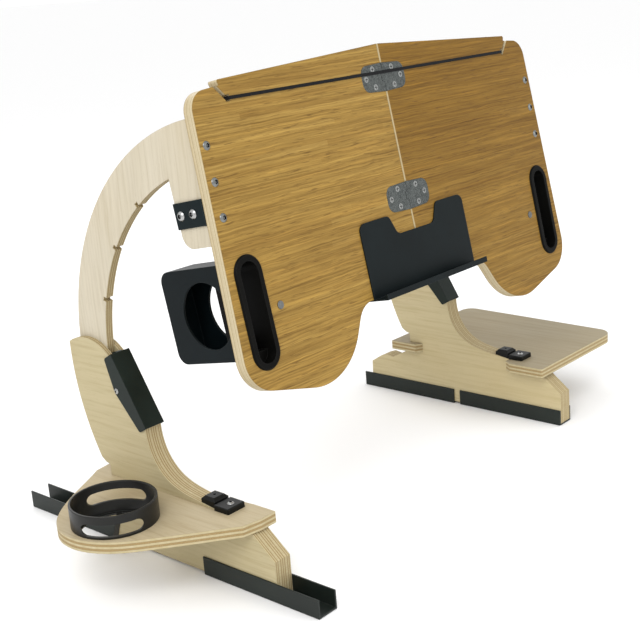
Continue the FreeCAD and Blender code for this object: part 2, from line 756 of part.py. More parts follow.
def page_band():
    """Elastic loop round the tongue that holds a book's pages or a tablet."""
    u = 229.9
    low = BAND_S - BAND_W / 2.0
    n_front = FACE_N + 0.2 + BAND_T
    n_back = BACK_N - 0.2 - BAND_T
    shell = box(-u, u, -n_front, -n_back, low, low + BAND_W)
    hollow = box(-u + BAND_T, u - BAND_T, -n_front + BAND_T, -n_back - BAND_T,
                 low - 1, low + BAND_W + 1)
    shell = shell.cut(hollow)
    corners = [e for e in shell.Edges if e.Length < BAND_W + 0.1
               and abs(abs(e.CenterOfMass.x) - u) < 0.01
               and abs(e.CenterOfMass.z - BAND_S) < 0.1]
    return shell.makeFillet(1.0, corners)


def book_rest():
    """Bent sheet: two tabs and a plate on the panel, a ledge, a lip and a rear hook."""
    bottom = CUTOUT_S - 0.2
    y = -FACE_N - REST_T
    plate_outline = [
        (-REST_HALF, bottom - REST_T, 0),
        (REST_HALF, bottom - REST_T, 0),
        (REST_HALF, REST_TOP, 9),
        (42.0, REST_TOP, 7),
        (32.0, 91.5, 9),
        (-32.0, 91.5, 9),
        (-42.0, REST_TOP, 7),
        (-REST_HALF, REST_TOP, 9),
    ]
    plate = slab_n(plate_outline, FACE_N, FACE_N + REST_T)
    ledge = box(-REST_HALF, REST_HALF, y - LEDGE_REACH, -BACK_N, bottom - REST_T, bottom)
    lip = box(-REST_HALF, REST_HALF, y - LEDGE_REACH, y - LEDGE_REACH + REST_T,
              bottom - REST_T, bottom - REST_T + LEDGE_LIP)
    return join([plate, ledge, lip])


# ---------------------------------------------------------------- shelves


def cup_shelf():
    """Teardrop shelf whose two arms pass over the leg, with a hole for the cup ring."""
    inner = -(LEG_FACE - LEG_T) + 12.0
    face = -LEG_FACE
    z0 = SHELF_LOW

    def line(a, b):
        return Part.makeLine(in_xy(a, z0), in_xy(b, z0))

    outer = Part.BSplineCurve()
    outer.interpolate([in_xy(p, z0) for p in (
        (-282.0, 241.5), (-317.0, 222.0), (-364.0, 194.0), (-395.0, 160.0), (-400.5, 126.0),
        (-386.0, 90.0), (-357.0, 61.0), (-320.0, 30.0), (-291.0, 6.0))])
    corners = [(-291.0, 6.0), (-270.0, 2.0), (-249.5, 2.0), (-249.5, 30.0),
               (inner - 5.0, WEB_FRONT - 4), (inner - 5.0, WEB_FRONT), (face, WEB_FRONT),
               (face, WEB_REAR), (inner, WEB_REAR + 6), (inner, 243.0), (-262.0, 244.5),
               (-282.0, 241.5)]
    edges = [outer.toShape()]
    for a, b in zip(corners, corners[1:]):
        edges.append(line(a, b))
    plate = Part.Face(Part.Wire(edges)).extrude(V(0, 0, SHELF_T))
    hole = rod(CUP_R - 1.0, (CUP_X, CUP_Y, z0 - 1), (CUP_X, CUP_Y, z0 + SHELF_T + 1))
    return cut(plate, [hole, mirror(arm_room())])


def arm_room():
    """Notch in a shelf's rear arm for the desk's arm, which swings down through the leg."""
    x0 = LEG_FACE - LEG_T + CHEEK_T
    return box(x0, x0 + CORE_T, WEB_REAR - 5, ARM_ROOM_Y, SHELF_LOW - 1, SHELF_TOP + 1)


def cup_ring():
    """Ring in the shelf's hole, with two oval windows, a lip and a strap to stand a cup on."""
    z0 = SHELF_LOW
    floor_t = 2.0
    inside = CUP_R - CUP_WALL

    def turned(shape):
        shape.rotate(V(0, 0, 0), V(0, 0, 1), WINDOW_TURN)
        shape.translate(V(CUP_X, CUP_Y, 0))
        return shape

    wall = rod(CUP_R, (CUP_X, CUP_Y, SHELF_TOP), (CUP_X, CUP_Y, CUP_TOP))
    neck = rod(CUP_R - 1.0, (CUP_X, CUP_Y, z0), (CUP_X, CUP_Y, SHELF_TOP + 1))
    bore = rod(inside, (CUP_X, CUP_Y, z0 + floor_t), (CUP_X, CUP_Y, CUP_TOP + 1))
    drain = rod(inside - CUP_LIP, (CUP_X, CUP_Y, z0 - 1), (CUP_X, CUP_Y, z0 + 3))
    window = rounded_face(
        [(-WINDOW_HALF, WINDOW_LOW, 6.0), (WINDOW_HALF, WINDOW_LOW, 6.0),
         (WINDOW_HALF, WINDOW_HIGH, 6.0), (-WINDOW_HALF, WINDOW_HIGH, 6.0)],
        lambda p: V(p[0], -70.0, p[1]))
    slot = turned(window.extrude(V(0, 140.0, 0)))
    ring = cut(join([wall, neck]), [bore, drain, slot])
    rims = [e for e in ring.Edges if abs(e.CenterOfMass.z - CUP_TOP) < 0.01]
    ring = ring.makeFillet(0.9, rims)
    strap = turned(box(-CUP_STRAP / 2, CUP_STRAP / 2, -inside, inside, z0, z0 + floor_t))
    return join([ring, strap])


def mouse_tray():
    """Flat tray that straddles the right leg with two arms."""
    inner = LEG_FACE - LEG_T - 9.0
    outline = [
        (inner - 7.0, TRAY_FRONT, 2), (TRAY_NOSE, TRAY_FRONT - 1.5, 22),
        (TRAY_REACH + 0.6, TRAY_BACK, 16), (inner, TRAY_BACK, 0), (inner, WEB_REAR + 6, 0),
        (LEG_FACE - LEG_T, WEB_REAR, 0), (LEG_FACE, WEB_REAR, 0), (LEG_FACE, WEB_FRONT, 0),
        (inner, WEB_FRONT, 1), (inner - 7.0, 44.0, 0),
    ]
    return slab_z(outline, SHELF_LOW, SHELF_TOP).cut(arm_room())


def clip_block():
    """Bevelled block at the foot of the leg's curve that keeps the shelf arm back."""
    x0 = LEG_FACE - LEG_T + 1.0
    x1 = LEG_FACE - 1.0
    front, rear = CLIP_BLOCK_Y
    top = SHELF_TOP + 10.0
    block = box(x0, x1, front, rear, SHELF_TOP - 1, top)
    upper = [e for e in block.Edges if abs(e.CenterOfMass.z - top) < 0.01]
    block = block.makeChamfer(3.0, upper)
    dimple = rod(1.6, ((x0 + x1) / 2, (front + rear) / 2, top - 1.5),
                 ((x0 + x1) / 2, (front + rear) / 2, top + 1))
    side = leg_face(x0 - 5).extrude(V(LEG_T + 10, 0, 0))
    return cut(block, [side, dimple])


def clip_plate():
    """Low block screwed down on the shelf arm, over the leg's front shoulder."""
    x0 = LEG_FACE - LEG_T - 0.5
    x1 = LEG_FACE + 2.0
    front, rear = CLIP_PLATE_Y
    plate = slab_z([(x0, front, 1.5), (x1, front, 1.5), (x1, rear, 1), (x0, rear, 1)],
                   SHELF_TOP, SHELF_TOP + 6.0)
    top = [e for e in plate.Edges if abs(e.CenterOfMass.z - SHELF_TOP - 6.0) < 0.01]
    plate = plate.makeChamfer(0.8, top)
    return plate.cut(clip_hole())


def clip_hole():
    mid = LEG_FACE - LEG_T / 2.0
    return rod(2.0, (mid, CLIP_SCREW_Y, SHELF_LOW - 14), (mid, CLIP_SCREW_Y, SHELF_TOP + 8))


def clip_screw():
    mid = LEG_FACE - LEG_T / 2.0
    return dome_screw((mid, CLIP_SCREW_Y, SHELF_TOP + 6.0), (0, 0, -1), 2.0, 31.0, 3.8, 1.8, 1.9)


# ---------------------------------------------------------------- build and export


def build_legs():
    inner_x = LEG_FACE - LEG_T
    core_front, core_rear = cores(inner_x + CHEEK_T)
    both("cheek_outer", cheek(LEG_FACE - CHEEK_T))
    both("cheek_inner", cheek(inner_x))
    both("core_front", core_front.cut(clip_hole()))
    both("core_rear", core_rear)
    both("foot_pins", foot_pins())
    front = foot(NOSE_Y, True)
    rear = foot(NOSE_Y + FOOT_L + FOOT_GAP, False)
    save("right_front_foot", front)
    save("right_rear_foot", rear)
    left_front = mirror(front)
    left_front.translate(V(0, -FRONT_OUT, 0))
    left_rear = mirror(rear)
    left_rear.translate(V(0, FOOT_TRAVEL, 0))
    save("left_front_foot", left_front)
    save("left_rear_foot", left_rear)
    both("latch", latch())
    both("latch_pin", latch_pin())
    both("latch_spring", latch_spring())


def build_shelves():
    hole = clip_hole()
    save("cup_shelf", cup_shelf().cut(mirror(hole)))
    save("cup_ring", cup_ring())
    save("mouse_tray", mouse_tray().cut(hole))
    both("clip_block", clip_block())
    both("clip_plate", clip_plate())
    both("clip_screw", clip_screw())


def build_desk():
    both("panel", panel(), desk)
    both("arm", arm(), desk)
    both("saddle", saddle(), desk)
    both("saddle_bolts", saddle_bolts(), desk)
    both("panel_screws", panel_screws(), desk)
    both("pocket_rim", pocket_rim(), desk)
    both("pocket_box", pocket_box(), desk)
    both("plug", plug(), desk)
    save("page_band", desk(page_band()))
    save("book_rest", desk(book_rest()))
    for name, s in zip(("upper", "lower"), HINGE_S):
        save(name + "_hinge_right_leaf", desk(hinge_leaf(s, True)))
        save(name + "_hinge_left_leaf", desk(mirror(hinge_leaf(s, False))))
        save(name + "_hinge_pin", desk(hinge_pin(s)))
        save(name + "_hinge_screws", desk(hinge_screws(s)))


os.makedirs("parts", exist_ok=True)
build_legs()
build_shelves()
build_desk()
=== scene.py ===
"""Looks of the over-lap stand: materials, floor, light and camera."""

import math

import bpy
from mathutils import Matrix, Vector


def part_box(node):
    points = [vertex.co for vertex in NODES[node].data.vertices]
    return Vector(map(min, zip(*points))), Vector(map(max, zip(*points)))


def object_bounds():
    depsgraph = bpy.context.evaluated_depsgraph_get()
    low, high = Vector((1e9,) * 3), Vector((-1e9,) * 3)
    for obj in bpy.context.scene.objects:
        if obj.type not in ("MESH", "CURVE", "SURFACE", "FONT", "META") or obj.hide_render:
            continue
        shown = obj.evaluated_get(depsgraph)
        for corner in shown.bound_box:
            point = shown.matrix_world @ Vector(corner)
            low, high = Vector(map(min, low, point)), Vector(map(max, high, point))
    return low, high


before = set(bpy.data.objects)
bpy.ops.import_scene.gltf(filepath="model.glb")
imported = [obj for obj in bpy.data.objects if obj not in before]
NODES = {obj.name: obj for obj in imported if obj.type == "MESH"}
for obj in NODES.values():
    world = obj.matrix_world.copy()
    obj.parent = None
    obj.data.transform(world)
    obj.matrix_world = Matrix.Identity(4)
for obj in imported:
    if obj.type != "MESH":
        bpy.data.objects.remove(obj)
cad_low, cad_high = [list(p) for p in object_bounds()]

MM = 0.001

# ---------------------------------------------------------------- places, from the frame
centre = (Vector(cad_low) + Vector(cad_high)) / 2.0
DESK_X = (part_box("left_panel")[0][0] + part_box("right_panel")[1][0]) / 2.0

# ---------------------------------------------------------------- driving values
LEAN = math.radians(11.2)          # the desk's lean at rest
LIGHT_LEVEL = 1.34                 # how much the studio light lifts a matt colour
SKIN_DEPTH = 0.35 * MM             # a cut deeper than this shows the wood below the skin
STRIP = 5.2 * MM                   # width of one bamboo strip
STALK = 0.34                       # length of one stalk's piece of a strip
FIBRE_WAVE = 3.2 * MM              # how far the bamboo's fibres wander
RIB = 0.75 * MM                    # pitch of the ribs along the knitted band
THREAD = 0.9 * MM                  # pitch of the threads across it
SHELVES = ("cup_shelf", "mouse_tray")
SHELF_PLIES = 5
CHEEK_PLIES = 5
CORE_PLIES = 7                     # the leg's middle layer and the arms
RIGHT_PALE = 1.16                  # the right leg's veneer is paler than the left one's
FLOOR_SIZE = 400.0
FLOOR_DROP = 0.6 * MM
SKY_STRENGTH = 1.04
CAMERA_PLACE = (-1.0079, -0.9010, 0.5754)
CAMERA_YAW = math.radians(47.62)       # from +Y towards +X
CAMERA_PITCH = math.radians(-16.16)
CAMERA_ROLL = math.radians(-4.29)
CAMERA_LENS = 65.7                     # millimetres on a sensor SENSOR wide
SENSOR = 36.0

# ---------------------------------------------------------------- node helpers


def look(red, green, blue):
    """The base colour that shows as this 0-255 screen colour under the studio light."""
    out = []
    for value in (red, green, blue):
        v = value / 255.0
        linear = v / 12.92 if v <= 0.04045 else ((v + 0.055) / 1.055) ** 2.4
        out.append(linear / LIGHT_LEVEL)
    return tuple(out)


class Shader:
    """A material under construction: short calls that add and link nodes."""

    def __init__(self, name):
        self.mat = bpy.data.materials.new(name)
        self.mat.use_nodes = True
        self.tree = self.mat.node_tree
        self.nodes = self.tree.nodes
        self.nodes.clear()
        self.out = self.nodes.new("ShaderNodeOutputMaterial")
        self.bsdf = self.nodes.new("ShaderNodeBsdfPrincipled")
        self.link(self.bsdf.outputs[0], self.out.inputs[0])

    def link(self, a, b):
        self.tree.links.new(a, b)

    def put(self, socket, value):
        """Link a socket, or set a constant."""
        if isinstance(value, bpy.types.NodeSocket):
            self.link(value, socket)
        elif isinstance(value, (tuple, list)) and socket.type == "RGBA" and len(value) == 3:
            socket.default_value = (*value, 1.0)
        else:
            socket.default_value = value

    def add(self, kind, **inputs):
        node = self.nodes.new(kind)
        for key, value in inputs.items():
            self.put(node.inputs[key], value)
        return node

    def coords(self, turn=(0, 0, 0)):
        """Object coordinates, turned."""
        tex = self.nodes.new("ShaderNodeTexCoord")
        mapping = self.add("ShaderNodeMapping", Vector=tex.outputs["Object"], Rotation=turn)
        return mapping.outputs[0]

    def scaled(self, vector, scale):
        return self.add("ShaderNodeMapping", Vector=vector, Scale=scale).outputs[0]

    def noise(self, vector, scale, detail=3.0, rough=0.55, warp=0.0):
        node = self.add("ShaderNodeTexNoise", Vector=vector, Scale=scale, Detail=detail,
                        Roughness=rough, Distortion=warp)
        return node.outputs["Fac"]

    def math(self, op, a, b=0.0):
        node = self.nodes.new("ShaderNodeMath")
        node.operation = op
        self.put(node.inputs[0], a)
        self.put(node.inputs[1], b)
        return node.outputs[0]

    def split(self, vector):
        node = self.add("ShaderNodeSeparateXYZ", Vector=vector)
        return node.outputs

    def join(self, x, y, z):
        return self.add("ShaderNodeCombineXYZ", X=x, Y=y, Z=z).outputs[0]

    def ramp(self, value, stops):
        """A colour or grey ramp from (position, colour or grey) stops."""
        node = self.add("ShaderNodeValToRGB", Fac=value)
        ramp = node.color_ramp
        ramp.interpolation = "LINEAR"
        while len(ramp.elements) < len(stops):
            ramp.elements.new(0.5)
        for element, (place, colour) in zip(ramp.elements, stops):
            element.position = place
            if not isinstance(colour, (tuple, list)):
                colour = (colour, colour, colour)
            element.color = (*colour, 1.0)
        return node.outputs[0]

    def mix(self, fac, a, b, blend="MIX"):
        node = self.nodes.new("ShaderNodeMix")
        node.data_type = "RGBA"
        node.blend_type = blend
        self.put(node.inputs[0], fac)
        self.put(node.inputs[6], a)
        self.put(node.inputs[7], b)
        return node.outputs[2]

    def span(self, value, low, high, to_low=0.0, to_high=1.0):
        node = self.nodes.new("ShaderNodeMapRange")
        node.clamp = True
        for i, v in enumerate((value, low, high, to_low, to_high)):
            self.put(node.inputs[i], v)
        return node.outputs[0]

    def bump(self, height, strength, distance, normal):
        """A bumped normal, laid over another one."""
        return self.add("ShaderNodeBump", Height=height, Strength=strength,
                        Distance=distance, Normal=normal).outputs[0]

    def hollow(self, reach):
        """1 on open surfaces, towards 0 deep in sockets and gaps of the same piece; it masks
        painted shade.
        """
        node = self.add("ShaderNodeAmbientOcclusion", Distance=reach)
        node.samples = 4
        node.only_local = True
        return node.outputs["AO"]

    def bevel(self, radius):
        node = self.nodes.new("ShaderNodeBevel")
        node.samples = 4
        node.inputs["Radius"].default_value = radius
        return node.outputs[0]

    def set(self, **inputs):
        for key, value in inputs.items():
            self.put(self.bsdf.inputs[key.replace("_", " ")], value)
        return self.mat


def facing(sh, axis):
    """How far the surface faces an object-space direction, 0 to 1, either way."""
    tex = sh.nodes.new("ShaderNodeTexCoord")
    dot = sh.nodes.new("ShaderNodeVectorMath")
    dot.operation = "DOT_PRODUCT"
    sh.link(tex.outputs["Normal"], dot.inputs[0])
    dot.inputs[1].default_value = axis
    return sh.math("ABSOLUTE", dot.outputs["Value"])


# ---------------------------------------------------------------- materials


def bamboo(name):
    """Side-pressed bamboo: narrow strips along X with wavy fibres and short dashes."""
    sh = Shader(name)
    # u along the panel, s up it, depth through it
    desk = sh.coords(turn=(LEAN, 0, 0))
    u, depth, s = sh.split(desk)[0:3]
    wob = sh.math("MULTIPLY", sh.noise(desk, 9.0, 1.0), 1.2 * MM)
    row = sh.math("DIVIDE", sh.math("ADD", s, wob), STRIP)
    row_id = sh.math("FLOOR", row)
    row_pos = sh.math("FRACT", row)
    # each strip is cut from several stalks end to end
    lane = sh.add("ShaderNodeTexWhiteNoise", Vector=sh.join(row_id, 3.0, 1.0))
    along = sh.math("ADD", sh.math("DIVIDE", u, STALK),
                    sh.math("MULTIPLY", lane.outputs["Value"], 7.3))
    piece_id = sh.math("FLOOR", along)
    tone = sh.add("ShaderNodeTexWhiteNoise",
                  Vector=sh.join(row_id, piece_id, 2.0)).outputs["Value"]
    # fibres: very long along u, fine across
    wave = sh.math("MULTIPLY", sh.noise(sh.scaled(desk, (26, 1, 70)), 1.0, 2.0), FIBRE_WAVE)
    s_wavy = sh.math("ADD", s, wave)
    fibre_v = sh.join(sh.math("MULTIPLY", u, 10.0), sh.math("MULTIPLY", depth, 300.0),
                      sh.math("MULTIPLY", s_wavy, 640.0))
    fibre = sh.noise(fibre_v, 1.0, 6.0, 0.68, 0.25)
    dash_v = sh.join(sh.math("MULTIPLY", u, 52.0), sh.math("MULTIPLY", depth, 300.0),
                     sh.math("MULTIPLY", s_wavy, 900.0))
    dash = sh.noise(dash_v, 1.0, 2.0, 0.5)
    broad_v = sh.join(sh.math("MULTIPLY", u, 5.0), 0.0, sh.math("MULTIPLY", s, 115.0))
    broad = sh.noise(broad_v, 1.0, 3.0, 0.6, 0.4)

    base = sh.ramp(tone, [(0.0, look(148, 112, 50)), (0.35, look(162, 127, 60)),
                          (0.7, look(172, 138, 69)), (1.0, look(184, 151, 82))])
    base = sh.mix(0.60, base, look(166, 132, 64))
    # the right half is cut from a browner board, most of all near its top
    is_right = sh.math("GREATER_THAN", u, DESK_X)
    brown = sh.math("MULTIPLY", is_right, sh.span(s, 0.22, 0.42, 0.45, 0.80))
    base = sh.mix(brown, base, look(131, 94, 24))
    streak = sh.ramp(fibre, [(0.27, (0.38, 0.32, 0.24)), (0.42, (0.80, 0.77, 0.70)),
                             (0.55, (1.04, 1.04, 1.03)), (0.72, (1.52, 1.50, 1.44))])
    colour = sh.mix(0.95, base, streak, "MULTIPLY")
    cloud = sh.ramp(broad, [(0.25, (0.76, 0.71, 0.63)), (0.52, (1.0, 1.0, 1.0)),
                            (0.78, (1.19, 1.19, 1.19))])
    colour = sh.mix(0.9, colour, cloud, "MULTIPLY")
    dashes = sh.span(dash, 0.60, 0.70)
    colour = sh.mix(sh.math("MULTIPLY", dashes, 0.62), colour, look(98, 68, 28))
    glue = sh.span(sh.math("ABSOLUTE", sh.math("SUBTRACT", row_pos, 0.5)), 0.46, 0.5)
    colour = sh.mix(sh.math("MULTIPLY", glue, 0.22), colour, look(108, 78, 36))

    # below the skins, wherever the board is cut, pale plywood layers show
    front_n = sh.math("SUBTRACT", depth, PANEL_BACK)
    layer = sh.ramp(sh.span(front_n, PANEL_FACE - PANEL_BACK, 0.0),
                    [(0.0, look(170, 144, 96)), (0.06, look(212, 196, 158)),
                     (0.24, look(220, 206, 172)), (0.27, look(166, 140, 98)),
                     (0.31, look(214, 200, 166)), (0.66, look(206, 190, 154)),
                     (0.69, look(160, 134, 94)), (0.73, look(214, 199, 164)),
                     (0.94, look(204, 186, 148)), (1.0, look(168, 142, 94))])
    saw = sh.noise(sh.scaled(desk, (900, 300, 900)), 1.0, 3.0, 0.6)
    layer = sh.mix(0.30, layer, sh.ramp(saw, [(0.3, (0.74, 0.69, 0.60)), (0.7, (1.1, 1.1, 1.1))]),
                   "MULTIPLY")
    near_front = sh.math("LESS_THAN", sh.math("ABSOLUTE", sh.math("SUBTRACT", depth, PANEL_FACE)),
                         SKIN_DEPTH)
    near_back = sh.math("LESS_THAN", sh.math("ABSOLUTE", sh.math("SUBTRACT", depth, PANEL_BACK)),
                        SKIN_DEPTH)
    face = facing(sh, (0, math.cos(LEAN), -math.sin(LEAN)))
    is_face = sh.math("MULTIPLY", sh.span(face, 0.72, 0.9),
                      sh.math("MAXIMUM", near_front, near_back))
    colour = sh.mix(is_face, layer, colour)

    height = sh.math("ADD", sh.math("MULTIPLY", fibre, 0.6), sh.math("MULTIPLY", dash, 0.35))
    height = sh.math("SUBTRACT", height, sh.math("MULTIPLY", glue, 0.25))
    rough = sh.span(fibre, 0.25, 0.8, 0.50, 0.36)
    normal = sh.bump(height, 0.22, 0.25 * MM, sh.bevel(0.9 * MM))
    return sh.set(Base_Color=colour, Roughness=rough, Normal=normal, Specular_IOR_Level=0.14)


def birch(name, stack, grain, first, layer_t, tint, layers):
    """Birch plywood. stack is the axis the layers pile up on, grain the faces' long axis."""
    sh = Shader(name)
    xyz = sh.coords()
    parts = sh.split(xyz)
    fine = [300.0, 300.0, 300.0]
    fine[grain] = 9.0
    broad = [46.0, 46.0, 46.0]
    broad[grain] = 4.0
    warp = sh.math("MULTIPLY", sh.noise(xyz, 6.0, 2.0), 0.012)
    moved = sh.join(*(sh.math("ADD", parts[i], warp) for i in range(3)))
    fibre = sh.noise(sh.scaled(moved, fine), 1.0, 5.0, 0.64, 0.1)
    figure = sh.noise(sh.scaled(moved, broad), 1.0, 3.0, 0.55, 0.7)
    fleck_scale = [900.0, 900.0, 900.0]
    fleck_scale[grain] = 120.0
    fleck = sh.noise(sh.scaled(xyz, fleck_scale), 1.0, 1.0)

    colour = sh.mix(0.50, tint, sh.ramp(figure, [(0.25, (0.88, 0.86, 0.80)),
                                                 (0.45, (1.0, 1.0, 1.0)),
                                                 (0.62, (1.05, 1.055, 1.07)),
                                                 (0.8, (0.94, 0.925, 0.89))]), "MULTIPLY")
    colour = sh.mix(0.9, colour, sh.ramp(fibre, [(0.28, (0.84, 0.81, 0.75)), (0.5, (1.0, 1.0, 1.0)),
                                                 (0.75, (1.07, 1.07, 1.06))]), "MULTIPLY")
    colour = sh.mix(sh.math("MULTIPLY", sh.span(fleck, 0.66, 0.78), 0.30), colour,
                    tuple(c * k for c, k in zip(tint, (0.66, 0.58, 0.46))))
    stain = sh.noise(xyz, 5.0, 2.0)
    colour = sh.mix(sh.math("MULTIPLY", sh.span(stain, 0.45, 0.75), 0.35), colour,
                    tuple(c * k for c, k in zip(tint, (0.96, 0.88, 0.74))))

    # cut edge: long-grain and end-grain layers in turn, with thin dark glue lines
    pile = sh.math("DIVIDE", sh.math("SUBTRACT", parts[stack], first), layer_t)
    number = sh.math("FLOOR", pile)
    place = sh.math("FRACT", pile)
    odd = sh.math("FRACT", sh.math("MULTIPLY", number, 0.5))
    is_end = sh.span(odd, 0.2, 0.3)
    end_grain = sh.noise(sh.scaled(xyz, (1500, 1500, 1500)), 1.0, 2.0, 0.6)
    long_grain = sh.noise(sh.scaled(xyz, (160, 160, 900) if stack != 2 else (160, 160, 160)),
                          1.0, 3.0, 0.6)
    light = sh.ramp(long_grain, [(0.3, look(200, 184, 142)), (0.7, look(214, 200, 162))])
    dark = sh.ramp(end_grain, [(0.3, look(158, 133, 88)), (0.7, look(186, 163, 118))])
    edge = sh.mix(is_end, light, dark)
    glue = sh.span(sh.math("ABSOLUTE", sh.math("SUBTRACT", place, 0.5)), 0.42, 0.49)
    edge = sh.mix(sh.math("MULTIPLY", glue, 0.42), edge, look(100, 76, 44))
    axis = [0.0, 0.0, 0.0]
    axis[stack] = 1.0
    is_face = sh.span(facing(sh, axis), 0.7, 0.9)
    # only the outer skins carry the face veneer
    depth_in = sh.math("MINIMUM", pile, sh.math("SUBTRACT", float(layers), pile))
    is_skin = sh.math("LESS_THAN", depth_in, SKIN_DEPTH / layer_t)
    core_floor = sh.mix(0.5, light, dark)
    colour = sh.mix(is_skin, core_floor, colour)
    colour = sh.mix(is_face, edge, colour)

    edge_h = sh.math("MULTIPLY", sh.math("SUBTRACT", end_grain, glue), 0.8)
    height = sh.mix(is_face, edge_h, fibre)
    rough = sh.mix(is_face, (0.62, 0.62, 0.62), sh.ramp(fibre, [(0.3, 0.54), (0.7, 0.44)]))
    normal = sh.bump(height, 0.20, 0.22 * MM, sh.bevel(0.7 * MM))
    return sh.set(Base_Color=colour, Roughness=rough, Normal=normal, Specular_IOR_Level=0.15)


def black_coat(name, base, shine, rough=(0.36, 0.50), grain=1800.0, strength=0.16,
               edge=(0.040, 0.050, 0.048)):
    """Black powder coat or moulded plastic, with orange peel, dust and a painted highlight on its
    rounded edges.
    """
    sh = Shader(name)
    xyz = sh.coords()
    peel = sh.noise(xyz, grain, 3.0, 0.55)
    patch = sh.noise(xyz, 24.0, 4.0, 0.62)
    dust = sh.noise(xyz, 900.0, 2.0, 0.7)
    scuff_and_highlight_noise = sh.noise(sh.scaled(xyz, (240, 30, 240)), 1.0, 4.0, 0.7, 0.6)
    colour = sh.mix(sh.span(patch, 0.35, 0.75), base, tuple(c * 1.55 for c in base))
    colour = sh.mix(sh.math("MULTIPLY", sh.span(dust, 0.66, 0.8), 0.12), colour,
                    tuple(c * 9.0 for c in base))
    # a bevelled normal that strays from the flat one marks a rounded edge, which gets a painted
    # highlight
    round_n = sh.bevel(0.9 * MM)
    geo = sh.nodes.new("ShaderNodeNewGeometry")
    dot = sh.nodes.new("ShaderNodeVectorMath")
    dot.operation = "DOT_PRODUCT"
    sh.link(round_n, dot.inputs[0])
    sh.link(geo.outputs["Normal"], dot.inputs[1])
    painted_edge_highlight = sh.span(dot.outputs["Value"], 0.985, 0.80)
    painted_edge_highlight = sh.math("MULTIPLY", painted_edge_highlight, sh.span(scuff_and_highlight_noise, 0.35, 0.65, 0.25, 0.8))
    # painted highlight: rounded edges lightened towards the edge colour, broken up by noise
    colour = sh.mix(painted_edge_highlight, colour, edge)
    gloss = sh.span(sh.math("ADD", sh.math("MULTIPLY", patch, 0.7),
                            sh.math("MULTIPLY", scuff_and_highlight_noise, 0.3)), 0.3, 0.7, rough[0], rough[1])
    normal = sh.bump(peel, strength, 0.12 * MM, round_n)
    return sh.set(Base_Color=colour, Roughness=gloss, Normal=normal,
                  Specular_IOR_Level=shine)


def zinc(name):
    """Dark plated hinge steel with a worm-like mottle and painted shade in its hollows."""
    sh = Shader(name)
    xyz = sh.coords()
    bent = sh.noise(xyz, 420.0, 3.0, 0.6, 2.4)
    haze = sh.noise(xyz, 150.0, 4.0, 0.65)
    worm = sh.span(sh.math("ABSOLUTE", sh.math("SUBTRACT", bent, 0.5)), 0.0, 0.07, 1.0, 0.0)
    colour = sh.ramp(haze, [(0.25, (0.018, 0.022, 0.022)), (0.5, (0.034, 0.040, 0.039)),
                            (0.75, (0.066, 0.074, 0.072))])
    colour = sh.mix(sh.math("MULTIPLY", worm, 0.70), colour, (0.22, 0.235, 0.225))
    # painted shade: knuckle gaps and screw recesses of the leaf darkened towards near black
    colour = sh.mix(sh.span(sh.hollow(1.5 * MM), 0.75, 0.35), colour, (0.012, 0.013, 0.013))
    rough = sh.span(haze, 0.25, 0.75, 0.52, 0.38)
    normal = sh.bump(sh.math("ADD", sh.math("MULTIPLY", worm, 0.6), haze), 0.25, 0.07 * MM,
                     sh.bevel(0.4 * MM))
    return sh.set(Base_Color=colour, Roughness=rough, Metallic=0.55, Normal=normal,
                  Specular_IOR_Level=0.25)


def steel(name, tint, socket=(0.010, 0.010, 0.011)):
    """Turned steel with a fine haze; its sockets and slots are darkened towards the socket colour
    with painted shade.
    """
    sh = Shader(name)
    xyz = sh.coords()
    fine = sh.noise(xyz, 2600.0, 2.0, 0.6)
    haze = sh.noise(xyz, 300.0, 3.0, 0.6)
    colour = sh.ramp(haze, [(0.3, tuple(c * 0.72 for c in tint)), (0.7, tint)])
    # painted shade: the occlusion mask darkens sockets and slots of the same piece towards the
    # socket colour
    painted_socket_shade = sh.span(sh.hollow(3.0 * MM), 0.90, 0.62)
    colour = sh.mix(painted_socket_shade, colour, socket)
    rough = sh.math("ADD", sh.span(fine, 0.3, 0.7, 0.24, 0.38),
                    sh.math("MULTIPLY", painted_socket_shade, 0.4))
    normal = sh.bump(fine, 0.12, 0.05 * MM, sh.bevel(0.25 * MM))
    return sh.set(Base_Color=colour, Roughness=rough, Metallic=1.0, Normal=normal)


def knit(name):
    """Black woven elastic: ribs along its length and crossing threads."""
    sh = Shader(name)
    xyz = sh.coords(turn=(LEAN, 0, 0))
    u, depth, s = sh.split(xyz)[0:3]
    ribs = sh.math("SINE", sh.math("MULTIPLY", s, math.tau / RIB))
    weft = sh.math("SINE", sh.math("MULTIPLY", sh.math("ADD", u, depth),
                                   math.tau / THREAD))
    fuzz = sh.noise(xyz, 2400.0, 2.0)
    height = sh.math("ADD", sh.math("MULTIPLY", ribs, 0.6), sh.math("MULTIPLY", weft, 0.3))
    colour = sh.ramp(fuzz, [(0.3, (0.002, 0.002, 0.0025)), (0.75, (0.008, 0.008, 0.009))])
    normal = sh.bump(height, 0.5, 0.2 * MM, sh.nodes.new("ShaderNodeNewGeometry").outputs["Normal"])
    return sh.set(Base_Color=colour, Roughness=0.85, Normal=normal, Sheen_Weight=0.05,
                  Sheen_Roughness=0.5, Specular_IOR_Level=0.15)


def floor_paper(name):
    """Matt white paper with a fine tooth."""
    sh = Shader(name)
    xyz = sh.coords()
    tooth = sh.noise(xyz, 900.0, 2.0)
    colour = sh.ramp(tooth, [(0.3, (0.93, 0.93, 0.93)), (0.7, (0.95, 0.95, 0.95))])
    return sh.set(Base_Color=colour, Roughness=0.9)


# the panel's two faces along the desk's depth axis, from the panel's own mesh


def desk_depth(point):
    """The depth coordinate that the bamboo shader sees at a point."""
    return (Matrix.Rotation(LEAN, 3, "X") @ Vector(point)).y


depths = [desk_depth(v.co) for v in NODES["left_panel"].data.vertices]
PANEL_FACE = min(depths)
PANEL_BACK = max(depths)


def paint(node, material):
    """Give a node's mesh its one material."""
    obj = NODES[node]
    obj.data.materials.clear()
    obj.data.materials.append(material)


